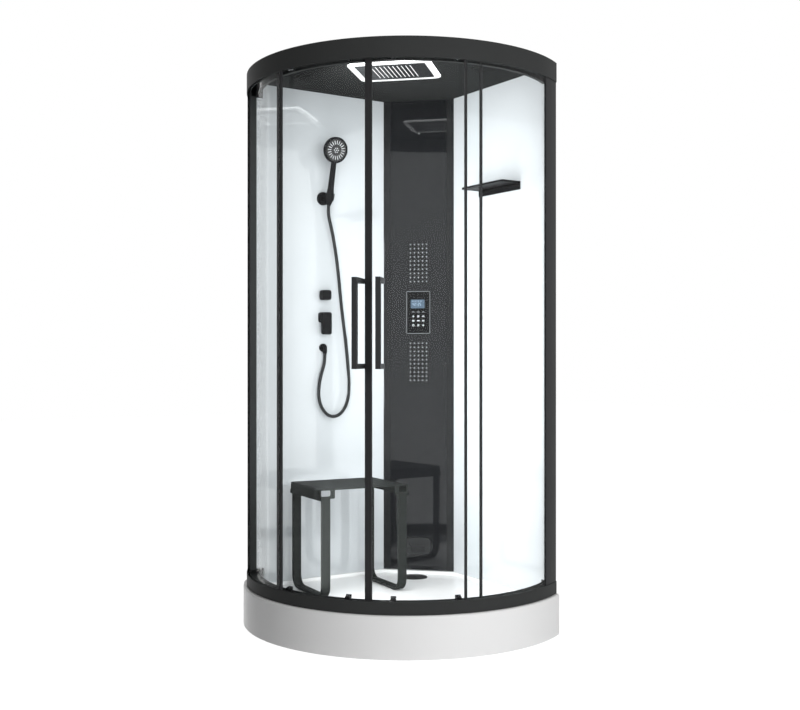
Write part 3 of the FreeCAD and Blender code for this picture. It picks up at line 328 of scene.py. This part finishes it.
LED_GLOW = edge_lit("led_glow", "FFFFFF", strength=3.2, level=0.94)
# The rain nozzles are no lamp: their glow is painted light on a face turned down, away from the
# lamps.
NOZZLE_PAINTED_GLOW = glowing("nozzle_painted_glow", "DDDDDD", strength=0.6, level=0.9)
SCREEN_GLOW = glowing("screen_glow", "3A4B5B", strength=0.3, level=0.9)
MARK_WHITE = moulded("mark_white", "C4C6C8", 0.4, 0.5)
MARK_GREY = moulded("mark_grey", "6C6F72", 0.4, 0.5)
DIGIT_WHITE = glowing("digit_white", "8C9FB0", strength=0.3, level=0.95)
HANGERS = hanger_finish()

finishes = {
    "shower_tray": TRAY_WHITE, "tray_frame": GALVANISED, "adjustable_feet": GALVANISED,
    "waste_trap": PIPE_GREY, "drain_cover": FITTING_BLACK, "bottom_rail": FRAME_BLACK,
    "top_rail": FRAME_BLACK, "roof_panel": CEILING_BLACK, "left_wall": LEFT_WALL_SHADED_WHITE,
    "right_wall": RIGHT_WALL_WHITE, "wall_channels": FRAME_BLACK, "end_stiles": STILE_BLACK,
    "fixed_stiles": STILE_BLACK, "left_fixed_glass": FIXED_GLASS, "right_fixed_glass": FIXED_GLASS,
    "column_glass": COLUMN_BLACK, "column_profiles": PROFILE_BLACK, "column_frame": GALVANISED,
    "control_panel": PANEL_BLACK, "control_display": SCREEN_GLOW, "control_box": TRIM_BLACK,
    "upper_jets": JET_GREY, "lower_jets": JET_GREY, "side_jets": TRIM_BLACK,
    "steam_generator": STEEL, "steam_pipe": STEEL, "steam_outlet": TRIM_BLACK,
    "led_frame": LED_GLOW, "rain_plate": TRIM_BLACK, "fan_cover": CEILING_BLACK,
    "speaker_cover": CEILING_BLACK, "fan_unit": TRIM_BLACK, "speaker_unit": TRIM_BLACK,
    "handset_holder": FITTING_BLACK, "handset": FITTING_BLACK, "handset_face": FACE_BLACK,
    "outlet_elbow": FITTING_BLACK, "diverter_knob": FITTING_BLACK, "mixer_lever": FITTING_BLACK,
    "mixer_cartridge": FITTING_BLACK, "mixer_valve": FITTING_BLACK, "shelf": FITTING_BLACK,
    "stool_seat": STOOL_BLACK, "stool_legs": STOOL_BLACK, "stool_pads": RUBBER,
    "shower_hose": HOSE_BLACK,
}
for side in ("left", "right"):
    finishes[side + "_door_glass"] = DOOR_GLASS
    finishes[side + "_door_stile"] = STILE_BLACK
    finishes[side + "_door_tail_stile"] = STILE_BLACK
    finishes[side + "_inner_wheel"] = TRIM_BLACK
    finishes[side + "_outer_wheel"] = TRIM_BLACK
    finishes[side + "_door_hangers"] = HANGERS
    finishes[side + "_handle"] = HANDLE_BLACK
for name, finish in finishes.items():
    slots = nodes[name].data.materials
    slots.clear()
    slots.append(finish)


# ------------------------------------------------------------------ small tools for added pieces
def piece(name, mesh_builder, finish, body):
    """A new mesh piece that rides on a body."""
    mesh = bpy.data.meshes.new(name)
    shape = bmesh.new()
    mesh_builder(shape)
    bmesh.ops.recalc_face_normals(shape, faces=shape.faces)
    shape.to_mesh(mesh)
    shape.free()
    mesh.materials.append(finish)
    made = bpy.data.objects.new(name, mesh)
    bpy.context.scene.collection.objects.link(made)
    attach(made, body)


def slab(shape, place, width, height, depth, bevel=0.0):
    """A bar, plate or tile: width and height across a face, and depth out of it."""
    made = bmesh.ops.create_cube(shape, size=1.0)
    corners = made["verts"]
    bmesh.ops.scale(shape, verts=corners, vec=(width, height, depth))
    bmesh.ops.translate(shape, verts=corners, vec=(0.0, 0.0, depth / 2.0))
    if bevel > 0.0:
        edges = list({edge for corner in corners for edge in corner.link_edges})
        eased = bmesh.ops.bevel(shape, geom=edges, offset=bevel, segments=2, affect="EDGES")
        corners = list({v for v in eased["verts"]} | {v for v in corners if v.is_valid})
    bmesh.ops.transform(shape, verts=corners, matrix=place)


def dome(shape, place, radius, flatness, around, rings):
    """A small ball, flattened along the way it looks."""
    made = bmesh.ops.create_uvsphere(shape, u_segments=around, v_segments=rings, radius=radius)
    bmesh.ops.scale(shape, verts=made["verts"], vec=(1.0, 1.0, flatness))
    bmesh.ops.transform(shape, verts=made["verts"], matrix=place)


def box_between(shape, low, high):
    """A box from its lowest corner to its highest."""
    made = bmesh.ops.create_cube(shape, size=1.0)
    size = Vector(high) - Vector(low)
    middle = (Vector(high) + Vector(low)) / 2.0
    bmesh.ops.scale(shape, verts=made["verts"], vec=size)
    bmesh.ops.translate(shape, verts=made["verts"], vec=middle)


def frame_at(origin, across, up):
    """The place of a small face piece: its width, its height and the way it looks."""
    out = across.cross(up)
    place = Matrix((across, up, out)).transposed().to_4x4()
    place.translation = origin
    return place


def column_place(s, z, proud):
    """On the column: s to the right of its middle, z up, proud of its glass face."""
    origin = CORNER + s * DIAGONAL + (COLUMN_FACE + proud) * ROOM_WARD + z * UP
    return frame_at(origin, DIAGONAL, UP)


def node_box(name):
    """The lowest and highest corner of one node's box."""
    places = [nodes[name].matrix_world @ Vector(corner) for corner in nodes[name].bound_box]
    low = Vector([min(p[i] for p in places) for i in range(3)])
    high = Vector([max(p[i] for p in places) for i in range(3)])
    return low, high


def rounded_loop(width, height, bend):
    """The corners of a rounded rectangle, anticlockwise."""
    steps = 6
    loop = []
    for turn, (sx, sy) in enumerate(((1, 1), (-1, 1), (-1, -1), (1, -1))):
        middle = Vector((sx * (width / 2.0 - bend), sy * (height / 2.0 - bend)))
        for step in range(steps + 1):
            angle = math.radians(90.0 * (turn + step / steps))
            loop.append(middle + bend * Vector((math.cos(angle), math.sin(angle))))
    return loop


def line_frame(shape, place, width, height, bend, line, proud):
    """A thin raised line around a rounded rectangle."""
    rings = []
    for inset, rise in ((0.0, 0.0), (0.0, proud), (line, proud), (line, 0.0)):
        loop = rounded_loop(width - 2.0 * inset, height - 2.0 * inset, bend - inset)
        rings.append([shape.verts.new(place @ Vector((p.x, p.y, rise))) for p in loop])
    for first, second in zip(rings, rings[1:] + rings[:1]):
        for i, corner in enumerate(first):
            after = (i + 1) % len(first)
            shape.faces.new((corner, first[after], second[after], second[i]))


# ------------------------------------------------------------------ control panel
FIGURE_HEIGHT = PANEL_THICKNESS - FIGURE_SINK
FIGURE_ROW = 1.2975
FIGURE_STROKE = 0.0016
FIGURE_HALF_WIDTH = 0.0028
FIGURE_HALF_HEIGHT = 0.0055
FIGURE_SHIFT = -0.001
FIGURES = (("4", -0.022), ("2", -0.0135), ("2", 0.0015), ("5", 0.010))
COLON_PLACE = -0.0075
COLON_HALF = 0.003
STATUS_ROW = 1.3115
STATUS_PLACES = (-0.024, -0.012, 0.0, 0.012)
STATUS_WIDTH, STATUS_HEIGHT = 0.007, 0.0022

# A figure's bars: across and up from its middle, in halves of its size, and whether it lies level.
SEGMENTS = {
    "top": (0.0, 1.0, True), "middle": (0.0, 0.0, True), "bottom": (0.0, -1.0, True),
    "left_high": (-1.0, 0.5, False), "right_high": (1.0, 0.5, False),
    "left_low": (-1.0, -0.5, False), "right_low": (1.0, -0.5, False),
}
DIGITS = {
    "2": ("top", "right_high", "middle", "left_low", "bottom"),
    "4": ("left_high", "right_high", "middle", "right_low"),
    "5": ("top", "left_high", "middle", "right_low", "bottom"),
}

# The bars of each plain sign: across, up, width, height, and turn in degrees.
SIGNS = {
    "bar": ((0.0, 0.0, 0.011, 0.0042, 0.0),),
    "cross": ((0.0, 0.0, 0.009, 0.0022, 0.0), (0.0, 0.0, 0.0022, 0.009, 0.0)),
    "arrow": ((-0.0024, 0.0, 0.008, 0.0024, 50.0), (0.0024, 0.0, 0.008, 0.0024, -50.0)),
    "wave": tuple((0.0, up, 0.009, 0.0016, 12.0) for up in (-0.003, 0.0, 0.003)),
    "dots": tuple((across, 0.0, 0.002, 0.007, 0.0) for across in (-0.0035, 0.0, 0.0035)),
}
RING_SIZE, RING_BEND, RING_LINE = 0.0095, 0.0047, 0.002
KEY_COLUMNS = (-0.022, 0.0, 0.022)
KEY_ROWS = (
    (1.264, ("arrow", "ring", "arrow")), (1.245, ("cross", "wave", "arrow")),
    (1.226, ("dots", "bar", "dots")), (1.206, ("ring", "wave", "cross")),
)

PANEL_MIDDLE = 1.262
OUTLINE_WIDTH, OUTLINE_HEIGHT = 0.1052, 0.1852
OUTLINE_BEND, OUTLINE_LINE = 0.0056, 0.0022
SENSOR_PLACE, SENSOR_HEIGHT, SENSOR_RADIUS = 0.002, 2.043, 0.0022


def digit(shape, text, s, z):
    """One figure of the display, made of its bars."""
    for name in DIGITS[text]:
        across, up, level = SEGMENTS[name]
        place = column_place(s + across * FIGURE_HALF_WIDTH, z + up * FIGURE_HALF_HEIGHT,
                             FIGURE_HEIGHT)
        if level:
            length = 2.0 * FIGURE_HALF_WIDTH - FIGURE_STROKE
            slab(shape, place, length, FIGURE_STROKE, SIGN_THICKNESS)
        else:
            slab(shape, place, FIGURE_STROKE, FIGURE_HALF_HEIGHT - FIGURE_STROKE, SIGN_THICKNESS)


def display_figures(shape):
    """Four figures with a colon, and a row of short status bars above them."""
    for text, s in FIGURES:
        digit(shape, text, s + FIGURE_SHIFT, FIGURE_ROW)
    for up in (-COLON_HALF, COLON_HALF):
        place = column_place(COLON_PLACE, FIGURE_ROW + up, FIGURE_HEIGHT)
        slab(shape, place, FIGURE_STROKE, FIGURE_STROKE, SIGN_THICKNESS)
    for s in STATUS_PLACES:
        place = column_place(s, STATUS_ROW, FIGURE_HEIGHT)
        slab(shape, place, STATUS_WIDTH, STATUS_HEIGHT, SIGN_THICKNESS)


def key_sign(shape, kind, s, z):
    """A plain sign on a key."""
    if kind == "ring":
        place = column_place(s, z, PANEL_THICKNESS)
        line_frame(shape, place, RING_SIZE, RING_SIZE, RING_BEND, RING_LINE, SIGN_THICKNESS)
        return
    for across, up, width, height, turn in SIGNS[kind]:
        place = column_place(s + across, z + up, PANEL_THICKNESS)
        turned = place @ Matrix.Rotation(math.radians(turn), 4, "Z")
        slab(shape, turned, width, height, SIGN_THICKNESS)


def key_signs(rows):
    """What draws the signs of these rows of keys."""
    def build(shape):
        for z, kinds in rows:
            for s, kind in zip(KEY_COLUMNS, kinds):
                key_sign(shape, kind, s, z)
    return build


def panel_line(shape):
    """The thin line around the control panel's face."""
    place = column_place(0.0, PANEL_MIDDLE, PANEL_THICKNESS)
    line_frame(shape, place, OUTLINE_WIDTH, OUTLINE_HEIGHT, OUTLINE_BEND, OUTLINE_LINE,
               SIGN_THICKNESS)


def column_sensor(shape):
    """A small pale lens on the column, above the jets."""
    place = column_place(SENSOR_PLACE, SENSOR_HEIGHT, 0.0)
    dome(shape, place, SENSOR_RADIUS, flatness=0.5, around=20, rings=12)


piece("display_digits", display_figures, DIGIT_WHITE, "cabin")
piece("key_signs", key_signs(KEY_ROWS[1:]), MARK_WHITE, "cabin")
piece("key_signs_dim", key_signs(KEY_ROWS[:1]), MARK_GREY, "cabin")
piece("panel_outline", panel_line, MARK_GREY, "cabin")
piece("column_lens", column_sensor, MARK_WHITE, "cabin")

# ------------------------------------------------------------------ rain plate and handset face
RAIN_MIDDLE = CORNER + 0.008 * DIAGONAL + 0.717 * ROOM_WARD + 2.1808 * UP
NOZZLE_COUNT = 10
NOZZLE_PITCH = 0.017
NOZZLE_WIDTH, NOZZLE_LENGTH, NOZZLE_DEPTH, NOZZLE_BEVEL = 0.0028, 0.168, 0.002, 0.0004

HANDSET_TILT = math.radians(14.0)
FACE_HALF_DEPTH = 0.00175       # from the middle of the spray face's box out to its front
SLOT_COUNT, SLOT_RING, SLOT_SINK = 20, 0.032, 0.0009
SLOT_LENGTH, SLOT_WIDTH, SLOT_DEPTH, SLOT_BEVEL = 0.0156, 0.0026, 0.0012, 0.0003
DOT_COUNT, DOT_RING, DOT_RISE, DOT_RADIUS = 6, 0.009, 0.0007, 0.0024


def rain_nozzles(shape):
    """A pale nozzle strip in each slot of the rain plate, given a painted glow."""
    for count in range(NOZZLE_COUNT):
        shift = (count - (NOZZLE_COUNT - 1) / 2.0) * NOZZLE_PITCH
        place = frame_at(RAIN_MIDDLE + shift * DIAGONAL, DIAGONAL, -ROOM_WARD)
        slab(shape, place, NOZZLE_WIDTH, NOZZLE_LENGTH, NOZZLE_DEPTH, NOZZLE_BEVEL)


def handset_place(radius, turn, rise):
    """On the hand shower's face, whose front is tilted down with the handset."""
    out = Vector((math.cos(HANDSET_TILT), 0.0, -math.sin(HANDSET_TILT)))
    across = Vector((0.0, 1.0, 0.0))
    up = Vector((math.sin(HANDSET_TILT), 0.0, math.cos(HANDSET_TILT)))
    low, high = node_box("handset_face")
    centre = (low + high) / 2.0 + (FACE_HALF_DEPTH + rise) * out
    spoke = math.cos(turn) * across + math.sin(turn) * up
    side = -math.sin(turn) * across + math.cos(turn) * up
    return frame_at(centre + radius * spoke, spoke, side)


def spray_slots(shape):
    """A light insert in each slot of the spray face."""
    for count in range(SLOT_COUNT):
        place = handset_place(SLOT_RING, math.radians(360.0 * count / SLOT_COUNT), -SLOT_SINK)
        slab(shape, place, SLOT_LENGTH, SLOT_WIDTH, SLOT_DEPTH, SLOT_BEVEL)


def spray_dots(shape):
    """One light nozzle in the middle of the spray face and a ring of them around it."""
    ring = [(DOT_RING, math.radians(360.0 * count / DOT_COUNT)) for count in range(DOT_COUNT)]
    for radius, turn in [(0.0, 0.0)] + ring:
        place = handset_place(radius, turn, DOT_RISE)
        dome(shape, place, DOT_RADIUS, flatness=0.6, around=16, rings=10)


# The nozzle strips glow as painted light.
piece("rain_nozzle_strips", rain_nozzles, NOZZLE_PAINTED_GLOW, "cabin")
piece("spray_slots", spray_slots, MARK_WHITE, "handset")
piece("spray_dots", spray_dots, MARK_WHITE, "handset")

# ------------------------------------------------------------------ rail end caps
CAP_NEAR, CAP_FAR = 0.333, 0.388            # along each wall, from the middle of the footprint
CAP_OUTSIDE, CAP_INSIDE = 0.4995, 0.4975    # out from the middle of the footprint
CAP_HEIGHTS = ((0.1565, 0.2005), (2.131, 2.2025))


def end_caps(shape):
    """Thin caps that close the hollow curved rails where they end at the two walls."""
    for foot, top in CAP_HEIGHTS:
        box_between(shape, (-CAP_OUTSIDE, -CAP_FAR, foot), (-CAP_INSIDE, -CAP_NEAR, top))
        box_between(shape, (CAP_NEAR, CAP_INSIDE, foot), (CAP_FAR, CAP_OUTSIDE, top))


piece("rail_end_caps", end_caps, TRIM_BLACK, "cabin")


# ------------------------------------------------------------------ shower hose
hose_route_mm = [
    (-418.3, -55.0, 1705.7),
    (-426.4, -55.0, 1673.0),
    (-433.0, -36.0, 1620.0),
    (-438.0, -18.0, 1556.0),
    (-441.0, 3.0, 1438.0),
    (-441.0, 18.0, 1288.0),
    (-440.0, 41.0, 1128.0),
    (-440.0, 53.0, 1010.0),
    (-440.0, 57.0, 943.0),
    (-440.0, 52.0, 887.0),
    (-441.0, 33.0, 842.0),
    (-442.0, 1.0, 816.0),
    (-443.0, -37.0, 816.0),
    (-444.0, -69.0, 842.0),
    (-445.5, -88.0, 887.0),
    (-447.5, -87.0, 942.0),
    (-450.0, -74.0, 996.0),
    (-452.0, -55.0, 1043.0),
    (-452.0, -55.0, 1083.0),
]
hose_route = [Vector(p) / 1000.0 for p in hose_route_mm]


def hose():
    """The hose hangs from the handset in one loop and comes up to the outlet elbow."""
    curve = bpy.data.curves.new("hose_line", "CURVE")
    curve.dimensions = "3D"
    curve.resolution_u = 12
    spline = curve.splines.new("NURBS")
    spline.points.add(len(hose_route) - 1)
    for control, place in zip(spline.points, hose_route):
        control.co = (*place, 1.0)
    spline.order_u = 3
    spline.use_endpoint_u = True
    line = bpy.data.objects.new("hose_line", curve)
    bpy.context.scene.collection.objects.link(line)
    path = [v.co.copy() for v in bpy.data.meshes.new_from_object(line).vertices]
    curve.bevel_depth = HOSE_DIAMETER / 2.0
    curve.bevel_resolution = 6
    curve.use_fill_caps = True
    bpy.context.view_layer.update()
    graph = bpy.context.evaluated_depsgraph_get()
    tube = bpy.data.meshes.new_from_object(line.evaluated_get(graph))
    tube.name = "hand_shower_hose"
    tube.materials.clear()
    tube.materials.append(HOSE_BLACK)
    tube.polygons.foreach_set("use_smooth", [True] * len(tube.polygons))
    bpy.data.objects.remove(line)
    made = bpy.data.objects.new("hand_shower_hose", tube)
    bpy.context.scene.collection.objects.link(made)
    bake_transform(made)
    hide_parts("shower_hose")


hose()


# ------------------------------------------------------------------ camera
forward = Vector((-math.sin(VIEW_AZIMUTH), math.cos(VIEW_AZIMUTH), 0.0))
camera_data = bpy.data.cameras.new("camera")
camera_data.lens = LENS
camera_data.sensor_width = SENSOR_WIDTH
camera_data.shift_x, camera_data.shift_y = SHIFT
camera = bpy.data.objects.new("camera", camera_data)
bpy.context.scene.collection.objects.link(camera)
camera.location = VIEW_AXIS - forward * VIEW_DISTANCE + VIEW_HEIGHT * UP
camera.rotation_euler = (math.radians(90.0), 0.0, VIEW_AZIMUTH)
bpy.context.scene.camera = camera


# ------------------------------------------------------------------ floor, world and lights
def backdrop_rays(tree):
    """1 for rays from the camera and those mirrored or sent through glass, and 0 for the rest."""
    path = tree.nodes.new("ShaderNodeLightPath")
    share = path.outputs["Is Camera Ray"]
    for kind in ("Is Glossy Ray", "Is Transmission Ray"):
        either = tree.nodes.new("ShaderNodeMath")
        either.operation = "MAXIMUM"
        tree.links.new(share, either.inputs[0])
        tree.links.new(path.outputs[kind], either.inputs[1])
        share = either.outputs["Value"]
    return share


def floor():
    """A pale floor that takes faint shadows, because backdrop rays see it mostly plain white."""
    bpy.ops.mesh.primitive_plane_add(size=FLOOR_SIZE, location=(0.0, 0.0, 0.0))
    plane = bpy.context.object
    plane.name = "floor"
    shader = Shader("floor_white")
    shader.set(Base_Color=srgb("F4F4F4"), Roughness=0.9, Specular_IOR_Level=0.1)
    white = shader.node("ShaderNodeEmission")
    white.inputs["Strength"].default_value = FLOOR_WHITE
    share = shader.node("ShaderNodeMath", operation="MULTIPLY")
    share.inputs[1].default_value = FLOOR_WHITE_SHARE
    shader.link(backdrop_rays(shader.tree), share.inputs[0])
    shader.blend(share.outputs["Value"], shader.bsdf.outputs["BSDF"], white.outputs["Emission"])
    plane.data.materials.append(shader.material)


def world():
    """Plain white to backdrop rays, and a low even light on everything else."""
    made = bpy.data.worlds.new("studio")
    bpy.context.scene.world = made
    made.use_nodes = True
    tree = made.node_tree
    background = tree.nodes["Background"]
    level = tree.nodes.new("ShaderNodeMapRange")
    level.inputs["To Min"].default_value = ROOM_LIGHT
    level.inputs["To Max"].default_value = 1.0
    tree.links.new(backdrop_rays(tree), level.inputs["Value"])
    tree.links.new(level.outputs["Result"], background.inputs["Strength"])
    background.inputs["Color"].default_value = (1.0, 1.0, 1.0, 1.0)


def lamp(name, place, target, size, power):
    """A rectangular light that the camera, mirrored rays and rays through glass don't see."""
    data = bpy.data.lights.new(name, "AREA")
    data.shape = "RECTANGLE"
    data.size, data.size_y = size
    data.energy = power
    made = bpy.data.objects.new(name, data)
    bpy.context.scene.collection.objects.link(made)
    made.location = place
    made.rotation_euler = (Vector(target) - Vector(place)).to_track_quat("-Z", "Y").to_euler()
    made.visible_camera = False
    made.visible_glossy = False
    made.visible_transmission = False


floor()
world()
lamp("key", place=(3.93, -0.5, 1.7), target=(0.0, 0.0, 1.1), size=(2.2, 2.2), power=108.0)
lamp("wall_wash", place=(0.1, -0.25, 1.15), target=(0.05, 0.5, 1.15), size=(0.5, 1.95), power=15.5)
lamp("end_wash", place=(-0.28, -0.42, 1.3), target=(-0.5, -0.34, 1.3), size=(0.06, 1.5), power=0.6)
bpy.context.scene.view_settings.view_transform = "Standard"
